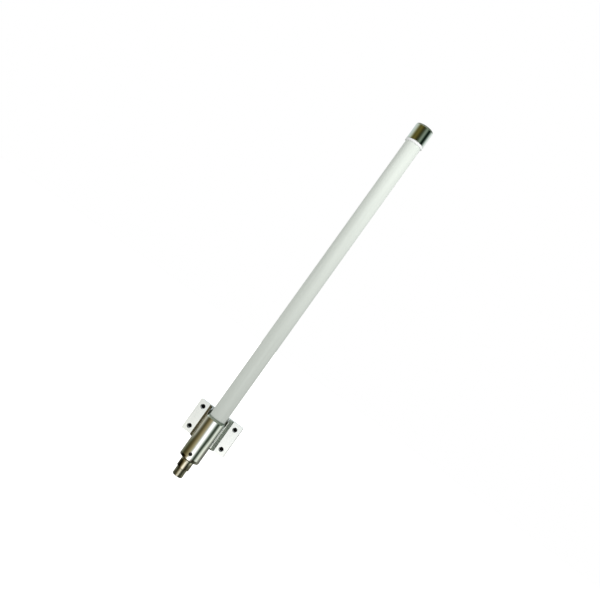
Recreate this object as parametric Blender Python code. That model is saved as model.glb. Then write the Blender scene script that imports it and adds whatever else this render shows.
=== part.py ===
"""Outdoor omnidirectional antenna: a radome on a metal base, in a saddle bracket, with a coaxial jack.

Units are metres. +Z runs up along the antenna and -Y is its front. The origin is the centre of the
bracket's flat back face, which goes against the mast.
"""

import math

import bmesh
import bpy
from mathutils import Matrix, Vector

# Clearances
GAP = 0.0003                      # between pieces that touch or fit together

# Radome tube
RADOME_DIAMETER = 0.025
RADOME_WALL = 0.002
RADOME_EXPOSED = 0.4786           # what shows between the rim seal and the cap ring

# Base tube
BASE_WALL = 0.0028
BASE_LENGTH = 0.069
BASE_BELOW_CENTRE = 0.053         # how far it reaches below the middle of the bracket
BASE_TOP_BEVEL_WIDTH = 0.0016
BASE_TOP_BEVEL_HEIGHT = 0.0024
BASE_BOTTOM_BEVEL = 0.0022
SEAL_WIDTH = 0.0005
SEAL_HEIGHT = 0.0008

# Top cap
CAP_WALL = 0.0013
CAP_HEIGHT = 0.0266
CAP_ROOF = 0.0025
CAP_EDGE_RADIUS = 0.003
RING_HEIGHT = 0.0038              # of the white ring under the cap
RING_PROUD = 0.0002
RING_EDGE_RADIUS = 0.0008
GASKET_THICKNESS = 0.0012
GASKET_WIDTH = 0.004
SUPPORT_SEAT = 0.004              # from the cap's lower edge up to the support plug
SUPPORT_BORE_DEPTH = 0.010

# Saddle bracket
BRACKET_HEIGHT = 0.051
WING_WIDTH = 0.0159               # from the cheek's foot out to the wing's edge
WING_THICKNESS = 0.008
WEB_THICKNESS = 0.0026            # behind the base tube
CHEEK_FOOT_WIDTH = 0.0052         # from the seat out to where a cheek meets its wing
CHEEK_TIP_WIDTH = 0.0008
CHEEK_END_RADIUS = 0.004
WING_CORNER_RADIUS = 0.0015
MAST_HOLE_DIAMETER = 0.0074
MAST_HOLE_FROM_CHEEK = 0.0075     # from the cheek's foot out to a hole's centre
MAST_HOLE_END_MARGIN = 0.0088     # from a hole's centre to the bracket's nearest end
HOLE_PLUG_THICKNESS = 0.002
HOLE_PLUG_RECESS = 0.0005

# Screws
BRACKET_SCREW_DIAMETER = 0.004
BRACKET_SCREW_HEAD_DIAMETER = 0.0076
BRACKET_SCREW_HEAD_HEIGHT = 0.002
BRACKET_SCREW_SOCKET = 0.0025
BRACKET_SCREW_SOCKET_DEPTH = 0.0013
BRACKET_SCREW_MARGIN = 0.008      # from the base tube's top and from the bracket's lower end
SET_SCREW_DIAMETER = 0.005
SET_SCREW_LENGTH = 0.005
SET_SCREW_RECESS = 0.0008
SET_SCREW_SOCKET = 0.0025
SET_SCREW_SOCKET_DEPTH = 0.0022
SET_SCREW_RISE = 0.010            # above the base tube's lower end
SET_SCREWS = {"front": -90, "right": 30, "left": 150}

# Base plug and jack
PLUG_RECESS = 0.0004
PLUG_LENGTH = 0.0186
JACK_REACH = 0.0283               # from the base tube's lower end to the jack's mouth
JACK_THREAD_DIAMETER = 0.0159
JACK_THREAD_LENGTH = 0.0135
JACK_SHOULDER_DIAMETER = 0.0190
JACK_MOUTH_BORE = 0.0086
JACK_REAR_DIAMETER = 0.010
JACK_REAR_BORE = 0.0066
JACK_STEP_HEIGHT = 0.0193         # from the mouth up to the step in the bore
JACK_EDGE = 0.0004
JACK_MOUTH_BEVEL = 0.0012
JACK_GASKET_THICKNESS = 0.0008
FERRULE_WALL = 0.0008
FERRULE_LENGTH = 0.008
WASHER_THICKNESS = 0.0008
WASHER_DIAMETER = 0.015
NUT_FLATS = 0.014
NUT_HEIGHT = 0.004
NUT_CLEAR_THREAD = 0.001          # thread left over above the nut
INSULATOR_RECESS = 0.0085
CONTACT_DIAMETER = 0.00304
CONTACT_REAR_DIAMETER = 0.0022
CONTACT_RECESS = 0.0052
CONTACT_SOCKET_DIAMETER = 0.0017
CONTACT_SOCKET_DEPTH = 0.005
CONTACT_CUP_DEPTH = 0.003

# Feed line and radiators
COAX_DIAMETER = 0.0036
COAX_WALL = 0.0003
CORE_DIAMETER = 0.0009
DIPOLE_COUNT = 4
SLEEVE_DIAMETER = 0.009
SLEEVE_WALL = 0.0005
SLEEVE_LENGTH = 0.028
SLEEVE_END = 0.001
SPACER_THICKNESS = 0.002
DISC_THICKNESS = 0.005
STACK_MARGIN = 0.009              # from the rim seal and the cap ring to the outermost discs

# Segments round a turned piece
FINE = 48
MEDIUM = 32
COARSE = 18
HEXED = 24                        # a multiple of 12, so that the corners of a hexagon are met

# Places that follow from the sizes above
RADOME_RADIUS = RADOME_DIAMETER / 2
RADOME_BORE = RADOME_RADIUS - RADOME_WALL
BASE_BORE = RADOME_RADIUS + GAP
BASE_RADIUS = BASE_BORE + BASE_WALL
SEAT_RADIUS = BASE_RADIUS + GAP
AXIS_Y = -(WEB_THICKNESS + SEAT_RADIUS)
BASE_BOTTOM = -BASE_BELOW_CENTRE
BASE_TOP = BASE_BOTTOM + BASE_LENGTH
SEAL_BOTTOM = BASE_TOP + GAP
RING_BOTTOM = SEAL_BOTTOM + SEAL_HEIGHT + RADOME_EXPOSED
RING_TOP = RING_BOTTOM + RING_HEIGHT
CAP_BOTTOM = RING_TOP + GAP
CAP_TOP = CAP_BOTTOM + CAP_HEIGHT
CAP_BORE = RADOME_RADIUS + GAP
CAP_RADIUS = CAP_BORE + CAP_WALL
GASKET_TOP = CAP_TOP - CAP_ROOF - GAP
RADOME_TOP = GASKET_TOP - GASKET_THICKNESS - GAP
PLUG_BOTTOM = BASE_BOTTOM + PLUG_RECESS
PLUG_TOP = PLUG_BOTTOM + PLUG_LENGTH
RADOME_BOTTOM = PLUG_TOP + GAP
SET_SCREW_Z = BASE_BOTTOM + SET_SCREW_RISE
JACK_MOUTH = BASE_BOTTOM - JACK_REACH
SHOULDER_BOTTOM = JACK_MOUTH + JACK_THREAD_LENGTH
JACK_GASKET_TOP = PLUG_BOTTOM - GAP
SHOULDER_TOP = JACK_GASKET_TOP - JACK_GASKET_THICKNESS - GAP
WASHER_BOTTOM = PLUG_TOP + GAP
NUT_BOTTOM = WASHER_BOTTOM + WASHER_THICKNESS + GAP
REAR_THREAD_TOP = NUT_BOTTOM + NUT_HEIGHT + NUT_CLEAR_THREAD
FERRULE_BORE = COAX_DIAMETER / 2 + GAP
FERRULE_TOP = REAR_THREAD_TOP + FERRULE_LENGTH
COAX_BOTTOM = REAR_THREAD_TOP + FERRULE_LENGTH / 4
INSULATOR_TOP = REAR_THREAD_TOP - FERRULE_WALL - GAP
CONTACT_TOP = COAX_BOTTOM - GAP
CORE_BOTTOM = CONTACT_TOP - CONTACT_CUP_DEPTH + GAP
STACK_BOTTOM = SEAL_BOTTOM + SEAL_HEIGHT + STACK_MARGIN
STACK_TOP = RING_BOTTOM - STACK_MARGIN
DIPOLE_PITCH = (STACK_TOP - STACK_BOTTOM) / DIPOLE_COUNT
SUPPORT_BOTTOM = CAP_BOTTOM + SUPPORT_SEAT
COAX_TOP = SUPPORT_BOTTOM + SUPPORT_BORE_DEPTH - GAP
FEED_GAP = SPACER_THICKNESS + 2 * GAP
CHEEK_FOOT = SEAT_RADIUS + CHEEK_FOOT_WIDTH
CHEEK_TIP = SEAT_RADIUS + CHEEK_TIP_WIDTH
BRACKET_HALF_WIDTH = CHEEK_FOOT + WING_WIDTH
MAST_HOLE_X = CHEEK_FOOT + MAST_HOLE_FROM_CHEEK
MAST_HOLE_Z = BRACKET_HEIGHT / 2 - MAST_HOLE_END_MARGIN
BRACKET_SCREW_ZS = {
    "lower": BRACKET_SCREW_MARGIN - BRACKET_HEIGHT / 2,
    "upper": BASE_TOP - BRACKET_SCREW_MARGIN,
}


def clear_scene():
    """Start from an empty file."""
    for item in list(bpy.data.objects):
        bpy.data.objects.remove(item, do_unlink=True)


def material(name, colour, metallic, roughness):
    """A plain Principled material, made once for each finish."""
    found = bpy.data.materials.get(name)
    if found:
        return found
    made = bpy.data.materials.new(name)
    made.use_nodes = True
    shader = made.node_tree.nodes["Principled BSDF"]
    shader.inputs["Base Color"].default_value = (*colour, 1)
    shader.inputs["Metallic"].default_value = metallic
    shader.inputs["Roughness"].default_value = roughness
    made.diffuse_color = (*colour, 1)
    return made


def fibreglass():
    return material("radome_fibreglass", (0.80, 0.82, 0.78), 0.0, 0.45)


def polished_steel():
    return material("polished_steel", (0.72, 0.72, 0.70), 1.0, 0.08)


def cast_aluminium():
    return material("bracket_aluminium", (0.88, 0.88, 0.88), 1.0, 0.35)


def nickel():
    return material("jack_nickel", (0.66, 0.62, 0.52), 1.0, 0.15)


def dark_steel():
    return material("screw_dark_steel", (0.06, 0.06, 0.06), 1.0, 0.4)


def rubber():
    return material("black_rubber", (0.02, 0.02, 0.02), 0.0, 0.8)


def grey_silicone():
    return material("rim_silicone", (0.45, 0.50, 0.47), 0.0, 0.5)


def white_ptfe():
    return material("white_ptfe", (0.90, 0.90, 0.88), 0.0, 0.5)


def brass():
    return material("radiator_brass", (0.78, 0.60, 0.28), 1.0, 0.3)


def copper():
    return material("coax_copper", (0.80, 0.42, 0.26), 1.0, 0.3)


def foam():
    return material("centring_foam", (0.86, 0.86, 0.84), 0.0, 0.9)


def finish_mesh(name, bm):
    """Turn an edit mesh into a mesh with round stretches smooth and edges sharp."""
    bmesh.ops.recalc_face_normals(bm, faces=bm.faces)
    mesh = bpy.data.meshes.new(name)
    bm.to_mesh(mesh)
    bm.free()
    mesh.shade_smooth()
    mesh.set_sharp_from_angle(angle=math.radians(35))
    return mesh


def place(name, mesh, finish, parent=None, matrix=None):
    """Link an object with its mesh, its finish and its place under a parent."""
    piece = bpy.data.objects.new(name, mesh)
    if not mesh.materials:
        mesh.materials.append(finish)
    bpy.context.scene.collection.objects.link(piece)
    piece.parent = parent
    if matrix is not None:
        piece.matrix_local = matrix
    return piece


def edge_reach(radius, angle, flats):
    """How far a ring's edge is from the axis: round, or with flats at the radius."""
    if not flats:
        return radius
    step = 2 * math.pi / flats
    return radius / math.cos((angle + step / 2) % step - step / 2)


def ring(bm, point, segments):
    """The vertices of one turned ring, or the single vertex of a point on the axis."""
    radius, height = point[:2]
    flats = point[2] if len(point) > 2 else 0
    if radius == 0:
        return [bm.verts.new((0, 0, height))]
    vertices = []
    for step in range(segments):
        angle = 2 * math.pi * step / segments
        reach = edge_reach(radius, angle, flats)
        vertices.append(bm.verts.new((reach * math.cos(angle), reach * math.sin(angle), height)))
    return vertices


def join_rings(bm, first, second):
    """Faces from one ring to the next."""
    segments = max(len(first), len(second))
    if segments == 1:
        return
    for step in range(segments):
        after = (step + 1) % segments
        corners = []
        for vertex in (
            first[step % len(first)],
            first[after % len(first)],
            second[after % len(second)],
            second[step % len(second)],
        ):
            if vertex not in corners:
                corners.append(vertex)
        bm.faces.new(corners)


def turned_mesh(name, profile, segments=MEDIUM):
    """A body turned about Z. Its profile of (radius, height) runs up the outside, down the bore.

    A third number gives a ring that many flats, as on a nut or in a hexagon socket.
    """
    bm = bmesh.new()
    rings = [ring(bm, point, segments) for point in profile]
    for first, second in zip(rings, rings[1:] + rings[:1]):
        join_rings(bm, first, second)
    return finish_mesh(name, bm)


def tube_profile(outer, bore, bottom, top):
    """The profile of a plain tube or ring."""
    return [(outer, bottom), (outer, top), (bore, top), (bore, bottom)]


def rod_profile(radius, bottom, top):
    """The profile of a plain rod."""
    return [(0, bottom), (radius, bottom), (radius, top), (0, top)]


def arc_points(centre, radius, start, end, steps):
    """Points along an arc, both ends included, with angles in degrees."""
    points = []
    for step in range(steps + 1):
        angle = math.radians(start + (end - start) * step / steps)
        points.append((centre[0] + radius * math.cos(angle), centre[1] + radius * math.sin(angle)))
    return points


def prism_mesh(name, outline, direction, length):
    """An outline of 3D points, filled and pulled along a direction."""
    bm = bmesh.new()
    face = bm.faces.new([bm.verts.new(point) for point in outline])
    pulled = bmesh.ops.extrude_face_region(bm, geom=[face])
    moved = [item for item in pulled["geom"] if isinstance(item, bmesh.types.BMVert)]
    bmesh.ops.translate(bm, verts=moved, vec=Vector(direction) * length)
    return finish_mesh(name, bm)


def make_cutter(name, mesh, parent=None, matrix=None):
    """A shape that only cuts others."""
    cutter = place(name, mesh, rubber(), parent, matrix)
    cutter.hide_render = True
    cutter.display_type = "WIRE"
    return cutter


def cut(piece, cutter):
    """Take the cutter's shape out of a piece."""
    boolean = piece.modifiers.new(cutter.name, "BOOLEAN")
    boolean.operation = "DIFFERENCE"
    boolean.solver = "EXACT"
    boolean.object = cutter


def radial(degrees, height):
    """A frame whose Z points out from the antenna's axis, at an angle from +X."""
    turn = Matrix.Rotation(math.radians(degrees), 4, "Z")
    tilt = Matrix.Rotation(math.radians(90), 4, "Y")
    return Matrix.Translation((0, 0, height)) @ turn @ tilt


def backward(x, y, z):
    """A frame whose Z points back, along +Y."""
    return Matrix.Translation((x, y, z)) @ Matrix.Rotation(math.radians(-90), 4, "X")


def make_radome(axis):
    """The fibreglass tube, from the base plug to the cap's gasket."""
    profile = tube_profile(RADOME_RADIUS, RADOME_BORE, RADOME_BOTTOM, RADOME_TOP)
    place("radome_tube", turned_mesh("radome_tube", profile, FINE), fibreglass(), axis)


def make_top_cap(axis):
    """The cap, a turned cup over the radome's end."""
    edge_centre = (CAP_RADIUS - CAP_EDGE_RADIUS, CAP_TOP - CAP_EDGE_RADIUS)
    profile = [
        (CAP_RADIUS, CAP_BOTTOM),
        *arc_points(edge_centre, CAP_EDGE_RADIUS, 0, 90, 4),
        (0, CAP_TOP),
        (0, CAP_TOP - CAP_ROOF),
        (CAP_BORE, CAP_TOP - CAP_ROOF),
        (CAP_BORE, CAP_BOTTOM),
    ]
    place("top_cap", turned_mesh("top_cap", profile, FINE), polished_steel(), axis)


def make_cap_ring(axis):
    """The white ring that the cap stands on, round at its lower edge."""
    outer = CAP_RADIUS + RING_PROUD
    edge_centre = (outer - RING_EDGE_RADIUS, RING_BOTTOM + RING_EDGE_RADIUS)
    profile = [
        *arc_points(edge_centre, RING_EDGE_RADIUS, -90, 0, 3),
        (outer, RING_TOP),
        (CAP_BORE, RING_TOP),
        (CAP_BORE, RING_BOTTOM),
    ]
    place("cap_ring", turned_mesh("cap_ring", profile, FINE), white_ptfe(), axis)


def make_cap_inside(axis):
    """The gasket under the cap's roof and the plug that holds the feed line's end."""
    gasket = tube_profile(
        RADOME_RADIUS, RADOME_RADIUS - GASKET_WIDTH, GASKET_TOP - GASKET_THICKNESS, GASKET_TOP
    )
    place("cap_gasket", turned_mesh("cap_gasket", gasket), rubber(), axis)
    radius = RADOME_BORE - GAP
    bore = COAX_DIAMETER / 2 + GAP
    bore_top = SUPPORT_BOTTOM + SUPPORT_BORE_DEPTH
    support = [
        (radius, SUPPORT_BOTTOM),
        (radius, RADOME_TOP - GAP),
        (0, RADOME_TOP - GAP),
        (0, bore_top),
        (bore, bore_top),
        (bore, SUPPORT_BOTTOM),
    ]
    place("top_support", turned_mesh("top_support", support), white_ptfe(), axis)


def make_base_tube(axis):
    """The metal sleeve that the radome stands in, drilled for its screws."""
    bevel_top = BASE_RADIUS - BASE_TOP_BEVEL_WIDTH
    profile = [
        (BASE_RADIUS - BASE_BOTTOM_BEVEL, BASE_BOTTOM),
        (BASE_RADIUS, BASE_BOTTOM + BASE_BOTTOM_BEVEL),
        (BASE_RADIUS, BASE_TOP - BASE_TOP_BEVEL_HEIGHT),
        (bevel_top, BASE_TOP),
        (BASE_BORE, BASE_TOP),
        (BASE_BORE, BASE_BOTTOM),
    ]
    tube = place("base_tube", turned_mesh("base_tube", profile, FINE), polished_steel(), axis)
    hole = turned_mesh(
        "set_screw_drill", rod_profile(SET_SCREW_DIAMETER / 2 + GAP, 0, 2 * BASE_RADIUS), COARSE
    )
    for side, degrees in SET_SCREWS.items():
        cut(tube, make_cutter(f"tube_drill_{side}", hole, axis, radial(degrees, SET_SCREW_Z)))
    shank = rod_profile(BRACKET_SCREW_DIAMETER / 2 + GAP, 0, 2 * BASE_RADIUS)
    drill = turned_mesh("bracket_screw_drill", shank, COARSE)
    for end, height in BRACKET_SCREW_ZS.items():
        cut(tube, make_cutter(f"tube_drill_{end}", drill, axis, radial(90, height)))


def make_rim_seal(axis):
    """The bead of sealant where the radome enters the base tube."""
    top = SEAL_BOTTOM + SEAL_HEIGHT
    profile = [
        (BASE_BORE + SEAL_WIDTH, SEAL_BOTTOM),
        (BASE_BORE + SEAL_WIDTH * 0.8, SEAL_BOTTOM + SEAL_HEIGHT * 0.6),
        (BASE_BORE + SEAL_WIDTH * 0.3, top),
        (BASE_BORE, top),
        (BASE_BORE, SEAL_BOTTOM),
    ]
    place("rim_seal", turned_mesh("rim_seal", profile, FINE), grey_silicone(), axis)


def make_base_plug(axis):
    """The plug that closes the base tube and carries the jack."""
    profile = tube_profile(BASE_BORE - GAP, JACK_REAR_DIAMETER / 2 + GAP, PLUG_BOTTOM, PLUG_TOP)
    plug = place("base_plug", turned_mesh("base_plug", profile, FINE), cast_aluminium(), axis)
    inner_end = BASE_RADIUS - SET_SCREW_RECESS - SET_SCREW_LENGTH
    hole = rod_profile(SET_SCREW_DIAMETER / 2 + GAP, inner_end - GAP, 2 * BASE_RADIUS)
    drill = turned_mesh("plug_drill", hole, COARSE)
    for side, degrees in SET_SCREWS.items():
        cut(plug, make_cutter(f"plug_drill_{side}", drill, axis, radial(degrees, SET_SCREW_Z)))


def make_set_screws(axis):
    """The grub screws that hold the base tube on its plug, just under the surface."""
    top = BASE_RADIUS - SET_SCREW_RECESS
    bottom = top - SET_SCREW_LENGTH
    radius = SET_SCREW_DIAMETER / 2
    edge = SET_SCREW_DIAMETER / 10
    socket = SET_SCREW_SOCKET / 2
    floor = top - SET_SCREW_SOCKET_DEPTH
    profile = [
        (0, bottom),
        (radius - edge, bottom),
        (radius, bottom + edge),
        (radius, top - edge),
        (radius - edge, top),
        (socket, top, 6),
        (socket, floor, 6),
        (0, floor),
    ]
    mesh = turned_mesh("set_screw", profile, HEXED)
    for side, degrees in SET_SCREWS.items():
        place(f"set_screw_{side}", mesh, dark_steel(), axis, radial(degrees, SET_SCREW_Z))


def bracket_outline():
    """The bracket's outline seen from above: back face, wings, cheeks and the half-round seat."""
    half = BRACKET_HALF_WIDTH
    seat = arc_points((0, AXIS_Y), SEAT_RADIUS, 180, 0, FINE // 2)
    left = [
        (-half, 0),
        (-half, -WING_THICKNESS),
        (-CHEEK_FOOT, -WING_THICKNESS),
        (-CHEEK_TIP, AXIS_Y),
    ]
    right = [(-x, y) for x, y in reversed(left)]
    return left + seat + right


def corner_outline(corner, inward, radius):
    """What a rounded corner takes away, with an overhang past the two faces it joins."""
    past = radius
    centre = (corner[0] + inward[0] * radius, corner[1] + inward[1] * radius)
    arc = [
        (
            centre[0] - inward[0] * radius * math.cos(math.radians(angle)),
            centre[1] - inward[1] * radius * math.sin(math.radians(angle)),
        )
        for angle in range(0, 91, 15)
    ]
    outside = [
        (centre[0], corner[1] - inward[1] * past),
        (corner[0] - inward[0] * past, corner[1] - inward[1] * past),
        (corner[0] - inward[0] * past, centre[1]),
    ]
    return arc + outside


def make_bracket():
    """The saddle that holds the base tube, with wings for the mast's U-bolts."""
    bottom = -BRACKET_HEIGHT / 2
    outline = [(x, y, bottom) for x, y in bracket_outline()]
    bracket = place(
        "saddle_bracket",
        prism_mesh("saddle_bracket", outline, (0, 0, 1), BRACKET_HEIGHT),
        cast_aluminium(),
    )
    width = 2 * BRACKET_HALF_WIDTH
    for end, up in (("top", 1), ("bottom", -1)):
        corner = (AXIS_Y, up * BRACKET_HEIGHT / 2)
        points = corner_outline(corner, (1, -up), CHEEK_END_RADIUS)
        mesh = prism_mesh("cheek_round", [(-width, y, z) for y, z in points], (1, 0, 0), 2 * width)
        cut(bracket, make_cutter(f"cheek_round_{end}", mesh))
        for side, out in (("left", -1), ("right", 1)):
            corner = (out * width / 2, up * BRACKET_HEIGHT / 2)
            points = corner_outline(corner, (-out, -up), WING_CORNER_RADIUS)
            mesh = prism_mesh(
                "wing_round", [(x, WING_THICKNESS, z) for x, z in points], (0, -1, 0), width
            )
            cut(bracket, make_cutter(f"wing_round_{end}_{side}", mesh))
            hole = rod_profile(MAST_HOLE_DIAMETER / 2, -2 * WING_THICKNESS, WING_THICKNESS)
            where = backward(out * MAST_HOLE_X, 0, up * MAST_HOLE_Z)
            mesh = turned_mesh("mast_hole", hole, COARSE)
            cut(bracket, make_cutter(f"mast_hole_{end}_{side}", mesh, None, where))
    head = BRACKET_SCREW_HEAD_DIAMETER / 2 + GAP
    shank = BRACKET_SCREW_DIAMETER / 2 + GAP
    sink = [
        (0, AXIS_Y),
        (shank, AXIS_Y),
        (shank, -BRACKET_SCREW_HEAD_HEIGHT - GAP),
        (head, 0),
        (head, WEB_THICKNESS),
        (0, WEB_THICKNESS),
    ]
    mesh = turned_mesh("countersink", sink, MEDIUM)
    for end, height in BRACKET_SCREW_ZS.items():
        cut(bracket, make_cutter(f"countersink_{end}", mesh, None, backward(0, 0, height)))


def make_bracket_screws():
    """The countersunk screws that hold the base tube in the bracket, from behind."""
    head = BRACKET_SCREW_HEAD_DIAMETER / 2
    shank = BRACKET_SCREW_DIAMETER / 2
    socket = BRACKET_SCREW_SOCKET / 2
    point = -(WEB_THICKNESS + BASE_WALL)
    profile = [
        (0, point),
        (shank, point),
        (shank, -BRACKET_SCREW_HEAD_HEIGHT - GAP / 2),
        (head, -GAP / 2),
        (socket, -GAP / 2, 6),
        (socket, -BRACKET_SCREW_SOCKET_DEPTH, 6),
        (0, -BRACKET_SCREW_SOCKET_DEPTH),
    ]
    mesh = turned_mesh("bracket_screw", profile, HEXED)
    for end, height in BRACKET_SCREW_ZS.items():
        place(f"bracket_screw_{end}", mesh, dark_steel(), None, backward(0, 0, height))


def make_hole_plugs():
    """The blanking plugs in the mast holes, pushed out when the U-bolts go in."""
    top = -HOLE_PLUG_RECESS
    profile = rod_profile(MAST_HOLE_DIAMETER / 2 - GAP, top - HOLE_PLUG_THICKNESS, top)
    mesh = turned_mesh("hole_plug", profile, COARSE)
    for end, up in (("top", 1), ("bottom", -1)):
        for side, out in (("left", -1), ("right", 1)):
            where = backward(out * MAST_HOLE_X, 0, up * MAST_HOLE_Z)
            place(f"hole_plug_{end}_{side}", mesh, rubber(), None, where)


def make_jack(axis):
    """The jack's body, with its coupling thread, shoulder, rear thread and solder ferrule."""
    thread = JACK_THREAD_DIAMETER / 2
    shoulder = JACK_SHOULDER_DIAMETER / 2
    rear = JACK_REAR_DIAMETER / 2
    mouth_bore = JACK_MOUTH_BORE / 2
    rear_bore = JACK_REAR_BORE / 2
    step = JACK_MOUTH + JACK_STEP_HEIGHT
    roof = REAR_THREAD_TOP - FERRULE_WALL
    profile = [
        (mouth_bore + JACK_EDGE, JACK_MOUTH),
        (thread - JACK_MOUTH_BEVEL, JACK_MOUTH),
        (thread, JACK_MOUTH + JACK_MOUTH_BEVEL),
        (thread, SHOULDER_BOTTOM),
        (shoulder - JACK_EDGE, SHOULDER_BOTTOM),
        (shoulder, SHOULDER_BOTTOM + JACK_EDGE),
        (shoulder, SHOULDER_TOP - JACK_EDGE),
        (shoulder - JACK_EDGE, SHOULDER_TOP),
        (rear, SHOULDER_TOP),
        (rear, REAR_THREAD_TOP),
        (FERRULE_BORE + FERRULE_WALL, REAR_THREAD_TOP),
        (FERRULE_BORE + FERRULE_WALL, FERRULE_TOP),
        (FERRULE_BORE, FERRULE_TOP),
        (FERRULE_BORE, roof),
        (rear_bore, roof),
        (rear_bore, step),
        (mouth_bore, step),
        (mouth_bore, JACK_MOUTH + JACK_EDGE),
    ]
    place("connector_shell", turned_mesh("connector_shell", profile), nickel(), axis)


def make_jack_inside(axis):
    """The jack's insulator and its centre contact."""
    step = JACK_MOUTH + JACK_STEP_HEIGHT
    contact = CONTACT_DIAMETER / 2
    contact_rear = CONTACT_REAR_DIAMETER / 2
    hole = contact + GAP
    insulator = [
        (JACK_MOUTH_BORE / 2 - GAP, JACK_MOUTH + INSULATOR_RECESS),
        (JACK_MOUTH_BORE / 2 - GAP, step - GAP),
        (JACK_REAR_BORE / 2 - GAP, step - GAP),
        (JACK_REAR_BORE / 2 - GAP, INSULATOR_TOP),
        (contact_rear + GAP, INSULATOR_TOP),
        (contact_rear + GAP, step),
        (hole, step),
        (hole, JACK_MOUTH + INSULATOR_RECESS),
    ]
    place("jack_insulator", turned_mesh("jack_insulator", insulator), white_ptfe(), axis)
    socket = CONTACT_SOCKET_DIAMETER / 2
    tip = JACK_MOUTH + CONTACT_RECESS
    cup = CORE_DIAMETER / 2 + GAP
    profile = [
        (socket, tip),
        (contact - JACK_EDGE, tip),
        (contact, tip + JACK_EDGE),
        (contact, step - GAP),
        (contact_rear, step - GAP),
        (contact_rear, CONTACT_TOP),
        (cup, CONTACT_TOP),
        (cup, CONTACT_TOP - CONTACT_CUP_DEPTH),
        (0, CONTACT_TOP - CONTACT_CUP_DEPTH),
        (0, tip + CONTACT_SOCKET_DEPTH),
        (socket, tip + CONTACT_SOCKET_DEPTH),
    ]
    place("jack_contact", turned_mesh("jack_contact", profile, COARSE), brass(), axis)


def make_jack_fixing(axis):
    """The jack's gasket below the plug, and its washer and nut above it."""
    bore = JACK_REAR_DIAMETER / 2 + GAP
    gasket_radius = JACK_SHOULDER_DIAMETER / 2 - JACK_EDGE
    gasket = tube_profile(
        gasket_radius, bore, JACK_GASKET_TOP - JACK_GASKET_THICKNESS, JACK_GASKET_TOP
    )
    place("jack_gasket", turned_mesh("jack_gasket", gasket), rubber(), axis)
    washer = tube_profile(
        WASHER_DIAMETER / 2, bore, WASHER_BOTTOM, WASHER_BOTTOM + WASHER_THICKNESS
    )
    place("jack_washer", turned_mesh("jack_washer", washer), dark_steel(), axis)
    nut = [
        (NUT_FLATS / 2, NUT_BOTTOM, 6),
        (NUT_FLATS / 2, NUT_BOTTOM + NUT_HEIGHT, 6),
        (bore, NUT_BOTTOM + NUT_HEIGHT),
        (bore, NUT_BOTTOM),
    ]
    place("jack_nut", turned_mesh("jack_nut", nut, HEXED), nickel(), axis)


def dipole_height(number):
    """The height of a dipole's feed gap, counted from 1 at the bottom."""
    return STACK_BOTTOM + (number - 0.5) * DIPOLE_PITCH


def make_feed_line(axis):
    """The rigid coaxial line: core, dielectric, and an outer conductor cut at each feed gap."""
    core = rod_profile(CORE_DIAMETER / 2, CORE_BOTTOM, COAX_TOP)
    place("coax_core", turned_mesh("coax_core", core, COARSE), copper(), axis)
    dielectric = tube_profile(
        COAX_DIAMETER / 2 - COAX_WALL - GAP, CORE_DIAMETER / 2 + GAP, COAX_BOTTOM, COAX_TOP
    )
    place("coax_dielectric", turned_mesh("coax_dielectric", dielectric, COARSE), white_ptfe(), axis)
    gaps = [dipole_height(number) for number in range(1, DIPOLE_COUNT + 1)]
    starts = [COAX_BOTTOM] + [height + FEED_GAP / 2 for height in gaps]
    ends = [height - FEED_GAP / 2 for height in gaps] + [COAX_TOP]
    for number, (start, end) in enumerate(zip(starts, ends), 1):
        section = tube_profile(COAX_DIAMETER / 2, COAX_DIAMETER / 2 - COAX_WALL, start, end)
        name = f"coax_section_{number}"
        place(name, turned_mesh(name, section, COARSE), copper(), axis)


def make_dipoles(axis):
    """Pairs of brass sleeves, closed at the feed gap, with a spacer ring between them."""
    radius = SLEEVE_DIAMETER / 2
    bore = COAX_DIAMETER / 2 + GAP
    closed = FEED_GAP / 2
    upper_profile = [
        (radius, closed),
        (radius, closed + SLEEVE_LENGTH),
        (radius - SLEEVE_WALL, closed + SLEEVE_LENGTH),
        (radius - SLEEVE_WALL, closed + SLEEVE_END),
        (bore, closed + SLEEVE_END),
        (bore, closed),
    ]
    lower_profile = [(r, -z) for r, z in reversed(upper_profile)]
    upper = turned_mesh("dipole_upper", upper_profile, COARSE)
    lower = turned_mesh("dipole_lower", lower_profile, COARSE)
    ring_bore = COAX_DIAMETER / 2 - COAX_WALL
    spacer_profile = tube_profile(radius, ring_bore, -SPACER_THICKNESS / 2, SPACER_THICKNESS / 2)
    spacer = turned_mesh("feed_spacer", spacer_profile, COARSE)
    for number in range(1, DIPOLE_COUNT + 1):
        where = Matrix.Translation((0, 0, dipole_height(number)))
        place(f"dipole_{number}_lower", lower, brass(), axis, where)
        place(f"dipole_{number}_upper", upper, brass(), axis, where)
        place(f"feed_spacer_{number}", spacer, white_ptfe(), axis, where)


def make_centring_discs(axis):
    """Foam discs that keep the feed line in the middle of the radome."""
    profile = tube_profile(
        RADOME_BORE - GAP, COAX_DIAMETER / 2 + GAP, -DISC_THICKNESS / 2, DISC_THICKNESS / 2
    )
    mesh = turned_mesh("centring_disc", profile, MEDIUM)
    for number in range(DIPOLE_COUNT + 1):
        where = Matrix.Translation((0, 0, STACK_BOTTOM + number * DIPOLE_PITCH))
        place(f"centring_disc_{number + 1}", mesh, foam(), axis, where)


def main():
    clear_scene()
    axis = bpy.data.objects.new("antenna_axis", None)
    bpy.context.scene.collection.objects.link(axis)
    axis.location = (0, AXIS_Y, 0)
    make_radome(axis)
    make_top_cap(axis)
    make_cap_ring(axis)
    make_cap_inside(axis)
    make_base_tube(axis)
    make_rim_seal(axis)
    make_base_plug(axis)
    make_set_screws(axis)
    make_bracket()
    make_bracket_screws()
    make_hole_plugs()
    make_jack(axis)
    make_jack_inside(axis)
    make_jack_fixing(axis)
    make_feed_line(axis)
    make_dipoles(axis)
    make_centring_discs(axis)
    bpy.context.view_layer.update()


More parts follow.
